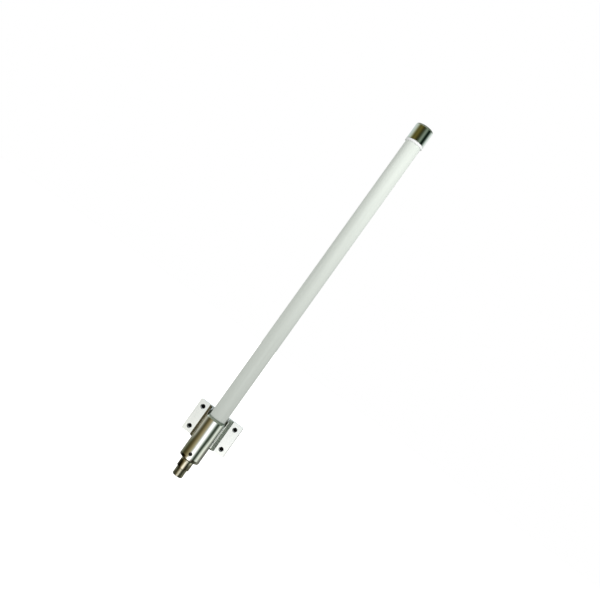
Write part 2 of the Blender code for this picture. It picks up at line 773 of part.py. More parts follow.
if __name__ == "__main__":
    main()
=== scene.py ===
"""The looks of an outdoor omnidirectional antenna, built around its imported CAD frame.

Laid out as a Blender add-on and run as a script. Lengths are metres, +Z runs up along the antenna
and -Y is its front.
"""

import math

import bmesh
import bpy
from bpy.props import FloatProperty, FloatVectorProperty, IntProperty, PointerProperty
from mathutils import Matrix, Vector


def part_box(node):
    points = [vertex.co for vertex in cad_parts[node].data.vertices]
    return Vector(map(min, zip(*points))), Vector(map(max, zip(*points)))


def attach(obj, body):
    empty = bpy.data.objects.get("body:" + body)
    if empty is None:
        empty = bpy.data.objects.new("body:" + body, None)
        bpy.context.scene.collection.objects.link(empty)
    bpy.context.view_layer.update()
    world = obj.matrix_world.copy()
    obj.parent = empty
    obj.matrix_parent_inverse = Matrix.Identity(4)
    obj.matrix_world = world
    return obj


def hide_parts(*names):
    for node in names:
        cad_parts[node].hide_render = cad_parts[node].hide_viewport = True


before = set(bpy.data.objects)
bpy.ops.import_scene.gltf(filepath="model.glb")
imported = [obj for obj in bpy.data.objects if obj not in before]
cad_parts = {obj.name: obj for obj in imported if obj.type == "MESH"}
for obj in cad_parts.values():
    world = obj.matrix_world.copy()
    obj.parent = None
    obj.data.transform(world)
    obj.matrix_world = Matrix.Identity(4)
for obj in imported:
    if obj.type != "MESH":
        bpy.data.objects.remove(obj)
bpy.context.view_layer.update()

bl_info = {
    "name": "Omnidirectional antenna",
    "version": (1, 0, 0),
    "blender": (4, 5, 0),
    "location": "3D View > Sidebar > Antenna",
    "description": "Builds an outdoor rod antenna with its radome, base, bracket and jack",
    "category": "Object",
}

ROUND_SEGMENTS = 128
SMALL_SEGMENTS = 64
HEX_SEGMENTS = 48
SMOOTH_LIMIT = math.radians(32)
THREAD_SMOOTH_LIMIT = math.radians(60)


def low(node):
    """The lowest corner of a CAD node's box."""
    return Vector(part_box(node)[0])


def high(node):
    """The highest corner of a CAD node's box."""
    return Vector(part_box(node)[1])


def middle(node):
    """The middle of a CAD node's box."""
    return (low(node) + high(node)) / 2


def radius_of(node):
    """The radius of a round CAD node that stands along Z."""
    return (high(node).x - low(node).x) / 2


AXIS_Y = (low("radome_tube").y + high("radome_tube").y) / 2
# Painted shade: black discs fill the mast holes, where only shade shows through.
HOLE_SHADE_PLUGS = [f"hole_plug_{end}_{side}" for end in ("top", "bottom") for side in ("left", "right")]
BRACKET_SCREWS = ("bracket_screw_lower", "bracket_screw_upper")
# Room between two pieces that fit together
FIT_GAP = 0.0003
# Radius of the bracket screws' holes, and the height of the step in the jack's bore
SCREW_HOLE = 0.0023
BORE_STEP = 0.0193


# Sizes and colours that a user would change


class RadomeSettings(bpy.types.PropertyGroup):
    wall: FloatProperty(
        name="Wall", description="Thickness of the tube's wall", default=0.002, unit="LENGTH"
    )
    end_round: FloatProperty(
        name="End rounding", description="Radius of the tube's cut ends", default=0.0004,
        unit="LENGTH",
    )
    colour: FloatVectorProperty(
        name="Colour", description="Gel coat colour", subtype="COLOR", size=3,
        default=(0.81, 0.862, 0.80),
    )


class CapSettings(bpy.types.PropertyGroup):
    roof: FloatProperty(
        name="Roof", description="Thickness of the cap's top", default=0.0025, unit="LENGTH"
    )
    edge_radius: FloatProperty(
        name="Edge radius", description="Rounding of the top edge", default=0.003, unit="LENGTH"
    )
    ring_edge: FloatProperty(
        name="Ring edge radius", description="Rounding of the white ring's lower edge",
        default=0.0009, unit="LENGTH",
    )


class BaseSettings(bpy.types.PropertyGroup):
    bevel_width: FloatProperty(
        name="Bevel width", description="Width of the bevel at the rim", default=0.0016,
        unit="LENGTH",
    )
    bevel_height: FloatProperty(
        name="Bevel height", description="Height of the bevel at the rim", default=0.0024,
        unit="LENGTH",
    )
    foot_bevel: FloatProperty(
        name="Foot bevel", description="Bevel at the lower edge", default=0.0022, unit="LENGTH"
    )
    drill: FloatProperty(
        name="Drill", description="Diameter of the set screw holes", default=0.0056, unit="LENGTH"
    )
    colour: FloatVectorProperty(
        name="Colour", description="Polished steel colour", subtype="COLOR", size=3,
        default=(0.88, 0.88, 0.86),
    )


class BracketSettings(bpy.types.PropertyGroup):
    wing: FloatProperty(
        name="Wing", description="Thickness of the wings", default=0.008, unit="LENGTH"
    )
    foot: FloatProperty(
        name="Cheek foot", description="Width of a cheek where it meets its wing",
        default=0.0052, unit="LENGTH",
    )
    tip: FloatProperty(
        name="Cheek tip", description="Width of a cheek's tip", default=0.0008, unit="LENGTH"
    )
    end_radius: FloatProperty(
        name="Cheek end radius", description="Rounding of a cheek's ends", default=0.004,
        unit="LENGTH",
    )
    corner_radius: FloatProperty(
        name="Wing corner radius", description="Rounding of a wing's corners",
        default=0.0015, unit="LENGTH",
    )
    edge: FloatProperty(
        name="Edge break", description="Width of the broken edges", default=0.0003, unit="LENGTH"
    )
    hole: FloatProperty(
        name="Mast hole", description="Diameter of the mast holes", default=0.0074, unit="LENGTH"
    )
    colour: FloatVectorProperty(
        name="Colour", description="Aluminium colour", subtype="COLOR", size=3,
        default=(0.93, 0.95, 0.96),
    )
    # Painted shade: the left cheek's colour is darkened to stand for the shade on its side turned
    # away from the key light.
    left_cheek_shade: FloatVectorProperty(
        name="Left cheek", description="Colour of the duller left cheek", subtype="COLOR",
        size=3, default=(0.10, 0.10, 0.06),
    )
    right_cheek: FloatVectorProperty(
        name="Right cheek", description="Colour of the duller right cheek", subtype="COLOR",
        size=3, default=(0.95, 1.0, 0.95),
    )


class JackSettings(bpy.types.PropertyGroup):
    thread_length: FloatProperty(
        name="Thread length", description="Length of the coupling thread", default=0.0135,
        unit="LENGTH",
    )
    thread_radius: FloatProperty(
        name="Thread radius", description="Outer radius of the coupling thread",
        default=0.00795, unit="LENGTH",
    )
    pitch: FloatProperty(
        name="Pitch", description="Rise of the coupling thread in one turn",
        default=0.0254 / 24, unit="LENGTH",
    )
    depth: FloatProperty(
        name="Thread depth", description="Depth of the coupling thread", default=0.0002,
        unit="LENGTH",
    )
    mouth_bevel: FloatProperty(
        name="Mouth bevel", description="Rounding of the coupling thread's end", default=0.0012,
        unit="LENGTH",
    )
    rear_radius: FloatProperty(
        name="Rear radius", description="Radius of the jack's rear thread", default=0.005,
        unit="LENGTH",
    )
    mouth_bore: FloatProperty(
        name="Mouth bore", description="Radius of the jack's mouth", default=0.0043, unit="LENGTH"
    )
    colour: FloatVectorProperty(
        name="Colour", description="Nickel plating colour", subtype="COLOR", size=3,
        default=(0.55, 0.52, 0.42),
    )


class FastenerSettings(bpy.types.PropertyGroup):
    set_screws: IntProperty(
        name="Set screws", description="Set screws round the base tube", default=3, min=1
    )
    socket: FloatProperty(
        name="Socket", description="Size of the hexagon sockets across their flats",
        default=0.0025, unit="LENGTH",
    )


class StageSettings(bpy.types.PropertyGroup):
    azimuth: FloatProperty(
        name="Azimuth", description="Camera's turn about the antenna from its front",
        default=math.radians(7), subtype="ANGLE", unit="ROTATION",
    )
    elevation: FloatProperty(
        name="Elevation", description="Camera's height angle", default=math.radians(-1.5),
        subtype="ANGLE", unit="ROTATION",
    )
    roll: FloatProperty(
        name="Roll", description="How far the antenna leans to the right in the frame",
        default=math.radians(35.58), subtype="ANGLE", unit="ROTATION",
    )
    distance: FloatProperty(
        name="Distance", description="From the camera to the antenna", default=1.138, unit="LENGTH"
    )
    aim_height: FloatProperty(
        name="Aim height", description="Height of the point that the camera aims at",
        default=0.2214, unit="LENGTH",
    )
    aim_side: FloatProperty(
        name="Aim side", description="How far the aim lies left of the antenna",
        default=0.0027, unit="LENGTH",
    )
    lens: FloatProperty(
        name="Lens", description="Focal length in millimetres on a 36 mm sensor", default=48.0
    )
    floor_height: FloatProperty(
        name="Floor height", description="Height of the floor", default=-1.2, unit="LENGTH"
    )


# Mesh helpers


def edge_reach(radius, angle, flats):
    """How far a ring's edge is from the axis: round, or with flats at the radius."""
    if not flats:
        return radius
    step = 2 * math.pi / flats
    return radius / math.cos((angle + step / 2) % step - step / 2)


def ring(bm, point, segments):
    """The vertices of one turned ring, or the single vertex of a point on the axis."""
    radius, height = point[:2]
    flats = point[2] if len(point) > 2 else 0
    if radius == 0:
        return [bm.verts.new((0, 0, height))]
    vertices = []
    for step in range(segments):
        angle = 2 * math.pi * step / segments
        reach = edge_reach(radius, angle, flats)
        vertices.append(bm.verts.new((reach * math.cos(angle), reach * math.sin(angle), height)))
    return vertices


def join_rings(bm, first, second):
    """Faces from one ring to the next."""
    segments = max(len(first), len(second))
    if segments == 1:
        return
    for step in range(segments):
        after = (step + 1) % segments
        corners = []
        for vertex in (
            first[step % len(first)],
            first[after % len(first)],
            second[after % len(second)],
            second[step % len(second)],
        ):
            if vertex not in corners:
                corners.append(vertex)
        bm.faces.new(corners)


def turned_mesh(name, profile, segments=ROUND_SEGMENTS, place=None):
    """A body turned about Z, then placed. The profile runs up the outside, down the bore.

    A third number in a point gives its ring that many flats.
    """
    bm = bmesh.new()
    rings = [ring(bm, point, segments) for point in profile]
    for first, second in zip(rings, rings[1:] + rings[:1]):
        join_rings(bm, first, second)
    bmesh.ops.transform(bm, matrix=place or on_axis(), verts=bm.verts)
    return smooth_mesh(name, bm)


def prism_mesh(name, outline, vector):
    """An outline of 3D points, filled and pulled along a vector."""
    bm = bmesh.new()
    face = bm.faces.new([bm.verts.new(point) for point in outline])
    pulled = bmesh.ops.extrude_face_region(bm, geom=[face])
    moved = [item for item in pulled["geom"] if isinstance(item, bmesh.types.BMVert)]
    bmesh.ops.translate(bm, verts=moved, vec=Vector(vector))
    return smooth_mesh(name, bm)


def smooth_mesh(name, bm):
    """Finish an edit mesh: outward normals, smooth rounds and sharp edges."""
    bmesh.ops.recalc_face_normals(bm, faces=bm.faces)
    mesh = bpy.data.meshes.new(name)
    bm.to_mesh(mesh)
    bm.free()
    mesh.shade_smooth()
    mesh.set_sharp_from_angle(angle=SMOOTH_LIMIT)
    return mesh


def on_axis(height=0.0):
    """The place of a piece that stands on the antenna's axis."""
    return Matrix.Translation((0, AXIS_Y, height))


def backward(x, z):
    """A place on the bracket's back face, with Z pointing back along +Y."""
    return Matrix.Translation((x, 0, z)) @ Matrix.Rotation(math.radians(-90), 4, "X")


def outward(degrees, height):
    """A place on the antenna's axis, with Z pointing out at an angle from +X."""
    turn = Matrix.Rotation(math.radians(degrees), 4, "Z")
    tilt = Matrix.Rotation(math.radians(90), 4, "Y")
    return on_axis(height) @ turn @ tilt


def arc(centre, radii, start, end, steps):
    """Points along an elliptical arc, both ends included, with angles in degrees."""
    points = []
    for step in range(steps + 1):
        angle = math.radians(start + (end - start) * step / steps)
        across, up = radii[0] * math.cos(angle), radii[1] * math.sin(angle)
        points.append((centre[0] + across, centre[1] + up))
    return points


def fillet(sharp, radius, start, steps):
    """Points round a profile's sharp corner, through a quarter turn from the start angle."""
    across = radius if start in (-90, 0) else -radius
    up = radius if start in (0, 90) else -radius
    return arc((sharp[0] - across, sharp[1] - up), (radius, radius), start, start + 90, steps)


def rod(radius, bottom, top):
    """The profile of a plain rod."""
    return [(0, bottom), (radius, bottom), (radius, top), (0, top)]


def levels(bottom, top, count):
    """Heights between two ends, both left out."""
    return [bottom + (top - bottom) * step / (count + 1) for step in range(1, count + 1)]


def link(name, mesh, finish=None):
    """Put a mesh into the scene as a piece at the origin."""
    piece = bpy.data.objects.new(name, mesh)
    bpy.context.scene.collection.objects.link(piece)
    if finish:
        coat(piece, finish)
    return piece


def coat(piece, finish):
    """Give a piece one finish all over."""
    piece.data.materials.clear()
    piece.data.materials.append(finish)


def cut(piece, meshes):
    """Take shapes out of a piece, for good."""
    for mesh in meshes:
        cutter = link(mesh.name, mesh)
        boolean = piece.modifiers.new("cut", "BOOLEAN")
        boolean.operation = "DIFFERENCE"
        boolean.solver = "EXACT"
        boolean.object = cutter
        apply_modifiers(piece)
        bpy.data.objects.remove(cutter)


def apply_modifiers(piece):
    """Replace a piece's mesh by its evaluated mesh and drop the modifiers."""
    depsgraph = bpy.context.evaluated_depsgraph_get()
    made = bpy.data.meshes.new_from_object(piece.evaluated_get(depsgraph))
    made.name = piece.name
    piece.modifiers.clear()
    piece.data = made


def break_edges(piece, width):
    """A small rounding along every sharp edge."""
    bevel = piece.modifiers.new("edge", "BEVEL")
    bevel.width = width
    bevel.segments = 2
    bevel.limit_method = "ANGLE"
    bevel.angle_limit = math.radians(40)
    bevel.harden_normals = True
    apply_modifiers(piece)


def keep(piece, material_slot, *nodes):
    """Tie a finished piece to the antenna's body and hide the CAD nodes it stands for."""
    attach(piece, "root")
    if nodes:
        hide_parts(*nodes)


# Geometry Nodes


def new_tree(name, inputs):
    """A node tree with a geometry input and output, named inputs and a material input."""
    tree = bpy.data.node_groups.new(name, "GeometryNodeTree")
    tree.is_modifier = True
    tree.interface.new_socket("Geometry", in_out="INPUT", socket_type="NodeSocketGeometry")
    for label, kind in inputs:
        tree.interface.new_socket(label, in_out="INPUT", socket_type=f"NodeSocket{kind}")
    tree.interface.new_socket("Material", in_out="INPUT", socket_type="NodeSocketMaterial")
    tree.interface.new_socket("Geometry", in_out="OUTPUT", socket_type="NodeSocketGeometry")
    return tree, tree.nodes.new("NodeGroupInput")


def add_node(tree, kind, settings=None, inputs=None):
    """A node with its settings, and its inputs given as numbers or as sockets to link."""
    made = tree.nodes.new(kind)
    for name, value in (settings or {}).items():
        setattr(made, name, value)
    for name, value in (inputs or {}).items():
        if isinstance(value, bpy.types.NodeSocket):
            tree.links.new(value, made.inputs[name])
        else:
            made.inputs[name].default_value = value
    return made


def math_node(tree, operation, *values, clamp=False):
    """The result of a Math node."""
    made = add_node(tree, "ShaderNodeMath", {"operation": operation, "use_clamp": clamp},
                    dict(enumerate(values)))
    return made.outputs[0]


def vector_node(tree, operation, *values, output=0, **named):
    """The result of a Vector Math node."""
    made = add_node(tree, "ShaderNodeVectorMath", {"operation": operation},
                    {**dict(enumerate(values)), **named})
    return made.outputs[output]


def range_node(tree, value, start, end, first=0.0, last=1.0):
    """A value's range mapped to another range."""
    made = add_node(tree, "ShaderNodeMapRange", None, {
        "Value": value, "From Min": start, "From Max": end, "To Min": first, "To Max": last,
    })
    return made.outputs[0]


def finish_tree(tree, source, geometry):
    """Real geometry with its material, as the tree's output."""
    real = add_node(tree, "GeometryNodeRealizeInstances", None, {"Geometry": geometry})
    finished = add_node(
        tree, "GeometryNodeSetMaterial", None,
        {"Geometry": real.outputs[0], "Material": source.outputs["Material"]},
    )
    output = tree.nodes.new("NodeGroupOutput")
    tree.links.new(finished.outputs[0], output.inputs["Geometry"])


def run_tree(piece, tree, values):
    """Run a tree on a piece and keep the result as a plain mesh."""
    modifier = piece.modifiers.new(tree.name, "NODES")
    modifier.node_group = tree
    for item in tree.interface.items_tree:
        if item.in_out == "INPUT" and item.name in values:
            modifier[item.identifier] = values[item.name]
    apply_modifiers(piece)


def ring_tree():
    """Copies of a piece, evenly round an upright axis."""
    tree, source = new_tree("copies_in_ring", [("Count", "Int"), ("Axis Y", "Float")])
    given = source.outputs
    centre = add_node(tree, "ShaderNodeCombineXYZ", None, {"Y": given["Axis Y"]})
    back = vector_node(tree, "SCALE", centre.outputs[0], Scale=-1.0)
    master = add_node(tree, "GeometryNodeTransform", None,
                      {"Geometry": given["Geometry"], "Translation": back})
    points = add_node(tree, "GeometryNodePoints", None,
                      {"Count": given["Count"], "Position": centre.outputs[0]})
    index = tree.nodes.new("GeometryNodeInputIndex")
    step = math_node(tree, "DIVIDE", 2 * math.pi, given["Count"])
    turn = add_node(tree, "ShaderNodeCombineXYZ", None,
                    {"Z": math_node(tree, "MULTIPLY", index.outputs[0], step)})
    copies = add_node(tree, "GeometryNodeInstanceOnPoints", None, {
        "Points": points.outputs[0], "Instance": master.outputs[0], "Rotation": turn.outputs[0],
    })
    finish_tree(tree, source, copies.outputs[0])
    return tree


def rows_tree():
    """Copies of a piece at the corners of an upright rectangle, or one above the other."""
    tree, source = new_tree("copies_in_rows", [
        ("Across", "Float"), ("Along", "Float"), ("Columns", "Int"), ("Rows", "Int"),
        ("Centre Z", "Float"),
    ])
    given = source.outputs
    grid = add_node(tree, "GeometryNodeMeshGrid", None, {
        "Size X": given["Across"], "Size Y": given["Along"],
        "Vertices X": given["Columns"], "Vertices Y": given["Rows"],
    })
    upright = add_node(tree, "GeometryNodeTransform", None, {
        "Geometry": grid.outputs[0], "Rotation": (math.radians(90), 0, 0),
    })
    height = add_node(tree, "ShaderNodeCombineXYZ", None, {"Z": given["Centre Z"]})
    placed = add_node(tree, "GeometryNodeTransform", None,
                      {"Geometry": upright.outputs[0], "Translation": height.outputs[0]})
    copies = add_node(tree, "GeometryNodeInstanceOnPoints", None,
                      {"Points": placed.outputs[0], "Instance": given["Geometry"]})
    finish_tree(tree, source, copies.outputs[0])
    return tree


def thread_tree():
    """A helical thread, pressed into the outer surface of a turned piece."""
    tree, source = new_tree("thread", [
        ("Pitch", "Float"), ("Depth", "Float"), ("Bottom", "Float"), ("Top", "Float"),
        ("Root radius", "Float"), ("Axis Y", "Float"),
    ])
    given = source.outputs
    position = tree.nodes.new("GeometryNodeInputPosition")
    centre = add_node(tree, "ShaderNodeCombineXYZ", None, {"Y": given["Axis Y"]})
    local = vector_node(tree, "SUBTRACT", position.outputs[0], centre.outputs[0])
    parts = add_node(tree, "ShaderNodeSeparateXYZ", None, {0: local})
    x, y, z = parts.outputs
    turns = math_node(tree, "DIVIDE", math_node(tree, "ARCTAN2", y, x), 2 * math.pi)
    rise = math_node(tree, "DIVIDE", z, given["Pitch"])
    phase = math_node(tree, "FLOORED_MODULO", math_node(tree, "SUBTRACT", rise, turns), 1.0)
    from_crest = math_node(tree, "ABSOLUTE", math_node(tree, "SUBTRACT", phase, 0.5))
    flank, root = -7.0, 1.15
    groove = math_node(tree, "MULTIPLY_ADD", from_crest, flank, root, clamp=True)
    first_turn = math_node(tree, "ADD", given["Bottom"], given["Pitch"])
    last_turn = math_node(tree, "SUBTRACT", given["Top"], given["Pitch"])
    fade = math_node(tree, "MULTIPLY", range_node(tree, z, given["Bottom"], first_turn),
                     range_node(tree, z, given["Top"], last_turn))
    flat = add_node(tree, "ShaderNodeCombineXYZ", None, {"X": x, "Y": y}).outputs[0]
    reach = vector_node(tree, "LENGTH", flat, output="Value")
    outer = math_node(tree, "GREATER_THAN", reach, given["Root radius"])
    depth = math_node(tree, "MULTIPLY", math_node(tree, "MULTIPLY", groove, fade),
                      math_node(tree, "MULTIPLY", given["Depth"], outer))
    push = vector_node(tree, "SCALE", vector_node(tree, "NORMALIZE", flat),
                       Scale=math_node(tree, "MULTIPLY", depth, -1.0))
    pressed = add_node(tree, "GeometryNodeSetPosition", None,
                       {"Geometry": given["Geometry"], "Offset": push})
    finish_tree(tree, source, pressed.outputs[0])
    return tree


# Materials


def new_material(name, colour, metallic=0.0, roughness=0.5, **settings):
    """A Principled material, with the sockets that stay the same all over."""
    made = bpy.data.materials.new(name)
    made.use_nodes = True
    shader = made.node_tree.nodes["Principled BSDF"]
    shader.inputs["Base Color"].default_value = (*colour, 1)
    shader.inputs["Metallic"].default_value = metallic
    shader.inputs["Roughness"].default_value = roughness
    for socket, value in settings.items():
        shader.inputs[socket.replace("_", " ")].default_value = value
    return made


def pattern(made, scale, stretch=(1, 1, 1), detail=4.0):
    """A noise over a piece's own coordinates, stretched as asked."""
    tree = made.node_tree
    where = tree.nodes.new("ShaderNodeTexCoord")
    mapping = add_node(tree, "ShaderNodeMapping", None, {
        "Vector": where.outputs["Object"], "Location": (0, -AXIS_Y, 0), "Scale": stretch,
    })
    noise = add_node(tree, "ShaderNodeTexNoise", None, {
        "Vector": mapping.outputs[0], "Scale": scale, "Detail": detail, "Roughness": 0.5,
    })
    return noise.outputs["Fac"]


def spread(made, value, low_value, high_value):
    """Map the middle of a pattern's range to a range of numbers."""
    return range_node(made.node_tree, value, 0.3, 0.7, low_value, high_value)


def blend(tree, factor, first, second):
    """One colour fading into another. Each is a colour or a socket."""
    made = tree.nodes.new("ShaderNodeMix")
    made.data_type = "RGBA"
    tree.links.new(factor, made.inputs["Factor"])
    sockets = [socket for socket in made.inputs if socket.type == "RGBA"]
    for socket, colour in zip(sockets, (first, second)):
        if isinstance(colour, bpy.types.NodeSocket):
            tree.links.new(colour, socket)
        else:
            socket.default_value = (*colour[:3], 1)
    return [socket for socket in made.outputs if socket.type == "RGBA"][0]


def tint(made, value, first, second):
    """Colour a piece between two tones by a pattern."""
    tree = made.node_tree
    mixed = blend(tree, spread(made, value, 0.0, 1.0), first, second)
    tree.links.new(mixed, tree.nodes["Principled BSDF"].inputs["Base Color"])


def gloss(made, value, smooth, rough):
    """Vary a piece's roughness by a pattern."""
    shader = made.node_tree.nodes["Principled BSDF"]
    made.node_tree.links.new(spread(made, value, smooth, rough), shader.inputs["Roughness"])


def relief(made, value, distance, strength):
    """Fine relief from a pattern, added to any that is already there."""
    tree = made.node_tree
    shader = tree.nodes["Principled BSDF"]
    bump = add_node(tree, "ShaderNodeBump", None,
                    {"Height": value, "Distance": distance, "Strength": strength})
    if shader.inputs["Normal"].is_linked:
        tree.links.new(shader.inputs["Normal"].links[0].from_socket, bump.inputs["Normal"])
    tree.links.new(bump.outputs[0], shader.inputs["Normal"])


def darker(colour, share):
    """A colour with its brightness scaled."""
    return tuple(channel * share for channel in colour)


def fibreglass(colour):
    """Gel-coated glass fibre: faint lengthwise streaks, fine speckle and a soft sheen."""
    made = new_material("radome_gel_coat", colour, roughness=0.42, Specular_IOR_Level=0.22)
    streaks = pattern(made, 220, (1, 1, 0.04), 5)
    tint(made, streaks, darker(colour, 0.955), darker(colour, 1.03))
    gloss(made, pattern(made, 900, detail=3), 0.36, 0.5)
    relief(made, pattern(made, 420, (1, 1, 0.12), 4), 0.00008, 0.5)
    relief(made, pattern(made, 2600, detail=2), 0.00003, 0.4)
    return made


def polished_metal(name, colour, roughness=0.05, rings=1.0):
    """Mirror-polished metal, with the faint rings that turning leaves."""
    made = new_material(name, colour, 1.0, roughness)
    gloss(made, pattern(made, 160, (1, 1, 14), 5), roughness * 0.7, roughness * 1.5)
    relief(made, pattern(made, 40, (1, 1, 0.4), 2), 0.00002, 0.35)
    relief(made, pattern(made, 300, (1, 1, 30), 3), 0.000004 * rings, 0.3)
    return made


def satin_aluminium(colour, cheek_shade_and_tone, front, seat):
    """Fine-brushed aluminium, with painted shade on the left cheek in front of the wings, a rougher
    right cheek in a tone of its own, and a seat painted a little darker as shade.
    """
    made = new_material("bracket_satin_aluminium", colour, 1.0, 0.2)
    tree = made.node_tree
    where = tree.nodes.new("ShaderNodeTexCoord")
    parts = add_node(tree, "ShaderNodeSeparateXYZ", None, {0: where.outputs["Object"]})
    flat = add_node(tree, "ShaderNodeCombineXYZ", None, {
        "X": parts.outputs[0], "Y": math_node(tree, "SUBTRACT", parts.outputs[1], AXIS_Y),
    })
    from_axis = vector_node(tree, "LENGTH", flat.outputs[0], output="Value")
    inside = math_node(tree, "LESS_THAN", from_axis, seat)
    ahead = math_node(tree, "LESS_THAN", parts.outputs[1], front)
    cheek = math_node(tree, "MULTIPLY", ahead, math_node(tree, "SUBTRACT", 1.0, inside))
    right = math_node(tree, "GREATER_THAN", parts.outputs[0], 0.0)
    mottle = spread(made, pattern(made, 70, (1, 1, 0.3), 4), 0, 1)
    bright = blend(tree, mottle, darker(colour, 0.95), colour)
    # Painted shade: the seat's hollow round the base tube is 10% darker.
    bright = blend(tree, inside, bright, darker(colour, 0.9))
    shader = tree.nodes["Principled BSDF"]
    # Painted shade: the left cheek's front takes a dark colour; the right cheek takes its own tone.
    shown = blend(tree, cheek, bright, blend(tree, right, *cheek_shade_and_tone))
    tree.links.new(shown, shader.inputs["Base Color"])
    brushed = pattern(made, 500, (1, 1, 0.05), 4)
    right_cheek, rougher = math_node(tree, "MULTIPLY", cheek, right), 0.22
    rough = math_node(tree, "MULTIPLY_ADD", right_cheek, rougher, spread(made, brushed, 0.15, 0.23))
    tree.links.new(rough, shader.inputs["Roughness"])
    relief(made, pattern(made, 900, (1, 1, 0.04), 3), 0.00001, 0.5)
    return made


def black_oxide():
    """Blackened steel of the small screws."""
    made = new_material("black_oxide_steel", (0.035, 0.035, 0.034), 0.7, 0.42)
    gloss(made, pattern(made, 1500), 0.34, 0.52)
    relief(made, pattern(made, 2500, detail=2), 0.00001, 0.4)
    return made


def black_rubber():
    """Matt black rubber with a fine bloom."""
    made = new_material("black_rubber", (0.006, 0.006, 0.006), 0.0, 0.85, Specular_IOR_Level=0.15)
    tint(made, pattern(made, 700), (0.004, 0.004, 0.004), (0.010, 0.010, 0.010))
    relief(made, pattern(made, 1800), 0.00003, 0.4)
    return made


def sealant():
    """The grey-green silicone bead at the rim."""
    made = new_material("rim_sealant", (0.36, 0.42, 0.38), 0.0, 0.35)
    tint(made, pattern(made, 500), (0.30, 0.36, 0.32), (0.42, 0.47, 0.43))
    relief(made, pattern(made, 800), 0.0001, 0.4)
    return made


def white_plastic(name, colour, grain, roughness):
    """White PTFE, nylon or foam, with a grain of its own scale."""
    made = new_material(name, colour, 0.0, roughness)
    tint(made, pattern(made, grain), darker(colour, 0.93), colour)
    relief(made, pattern(made, grain * 2), 0.00004, 0.4)
    return made


def drawn_metal(name, colour, roughness):
    """Drawn brass or copper, with streaks along its length and a little tarnish."""
    made = new_material(name, colour, 1.0, roughness)
    tint(made, pattern(made, 120, (1, 1, 0.2)), darker(colour, 0.8), colour)
    gloss(made, pattern(made, 600, (1, 1, 0.05)), roughness * 0.7, roughness * 1.4)
    return made


# Operators, one for each piece or group of like pieces


class ANTENNA_OT_radome(bpy.types.Operator):
    """Build the fibreglass radome tube"""

    bl_idname = "antenna.radome"
    bl_label = "Radome"

    def execute(self, context):
        settings = context.scene.antenna_radome
        bottom, top = low("radome_tube").z, high("radome_tube").z
        outer = radius_of("radome_tube")
        bore = outer - settings.wall
        edge = settings.end_round
        profile = fillet((outer, bottom), edge, -90, 4)
        profile += [(outer, height) for height in levels(bottom + edge, top - edge, 40)]
        profile += fillet((outer, top), edge, 0, 4)
        profile += fillet((bore, top), edge, 90, 4)
        profile += fillet((bore, bottom), edge, 180, 4)
        piece = link("radome", turned_mesh("radome", profile), fibreglass(settings.colour))
        keep(piece, "radome_fibreglass", "radome_tube")
        return {"FINISHED"}


class ANTENNA_OT_top_cap(bpy.types.Operator):
    """Build the polished top cap"""

    bl_idname = "antenna.top_cap"
    bl_label = "Top cap"

    def execute(self, context):
        settings = context.scene.antenna_cap
        bottom, top = low("top_cap").z, high("top_cap").z
        bore, side = radius_of("radome_tube") + FIT_GAP, radius_of("top_cap")
        edge, lip = settings.edge_radius, 0.00025
        roof = top - settings.roof
        profile = fillet((side, bottom), lip, -90, 4)
        profile += [(side, height) for height in levels(bottom + lip, top - edge, 8)]
        profile += fillet((side, top), edge, 0, 10)
        profile += [(0, top), (0, roof), (bore - lip, roof), (bore, roof - lip), (bore, bottom)]
        finish = polished_metal("cap_polished_metal", context.scene.antenna_base.colour)
        cap = link("cap", turned_mesh("cap", profile), finish)
        keep(cap, "polished_steel", "top_cap")
        return {"FINISHED"}


class ANTENNA_OT_cap_ring(bpy.types.Operator):
    """Build the white ring that the cap stands on, round at its lower edge"""

    bl_idname = "antenna.cap_ring"
    bl_label = "Cap ring"

    def execute(self, context):
        bottom, top = low("cap_ring").z, high("cap_ring").z
        outer, lower_edge = radius_of("cap_ring"), context.scene.antenna_cap.ring_edge
        upper_edge = lower_edge / 8
        lip = radius_of("radome_tube") + 0.00004
        profile = arc((lip, bottom + lower_edge), (outer - lip, lower_edge), -90, 0, 10)
        profile += fillet((outer, top), upper_edge, 0, 3)
        profile += [(radius_of("radome_tube") + FIT_GAP, top)]
        finish = white_plastic("ring_white_ptfe", (0.96, 0.98, 0.97), 600, 0.35)
        ring_piece = link("cap_ring", turned_mesh("cap_ring", profile), finish)
        keep(ring_piece, "white_ptfe", "cap_ring")
        return {"FINISHED"}


class ANTENNA_OT_base_tube(bpy.types.Operator):
    """Build the polished base tube, drilled for its set screws and bracket screws"""

    bl_idname = "antenna.base_tube"
    bl_label = "Base tube"

    def execute(self, context):
        settings = context.scene.antenna_base
        bottom, top = low("base_tube").z, high("base_tube").z
        outer = radius_of("base_tube")
        bore = radius_of("radome_tube") + FIT_GAP
        edge, foot = 0.0004, settings.foot_bevel
        slope = outer - settings.bevel_width
        shoulder = top - settings.bevel_height
        profile = fillet((outer, bottom), foot, -90, 6)
        profile += [(outer, height) for height in levels(bottom + foot, shoulder, 22)]
        profile += [(outer, shoulder - edge), (outer - edge * 0.12, shoulder)]
        profile += [(slope + edge * 0.4, top - edge * 0.5), (slope, top)]
        profile += [(bore, top), (bore, bottom)]
        tube = link("base", turned_mesh("base", profile))
        drill = rod(settings.drill / 2, 0, 2 * outer)
        height = middle("set_screw_front").z
        count = context.scene.antenna_fasteners.set_screws
        holes = [
            turned_mesh("drill", drill, SMALL_SEGMENTS, outward(-90 + 360 * step / count, height))
            for step in range(count)
        ]
        shank = rod(SCREW_HOLE, 0, 2 * outer)
        for node in BRACKET_SCREWS:
            holes.append(turned_mesh("drill", shank, HEX_SEGMENTS, outward(90, middle(node).z)))
        cut(tube, holes)
        coat(tube, polished_metal("base_polished_metal", settings.colour))
        tube.data.set_sharp_from_angle(angle=SMOOTH_LIMIT)
        keep(tube, "polished_steel", "base_tube")
        return {"FINISHED"}


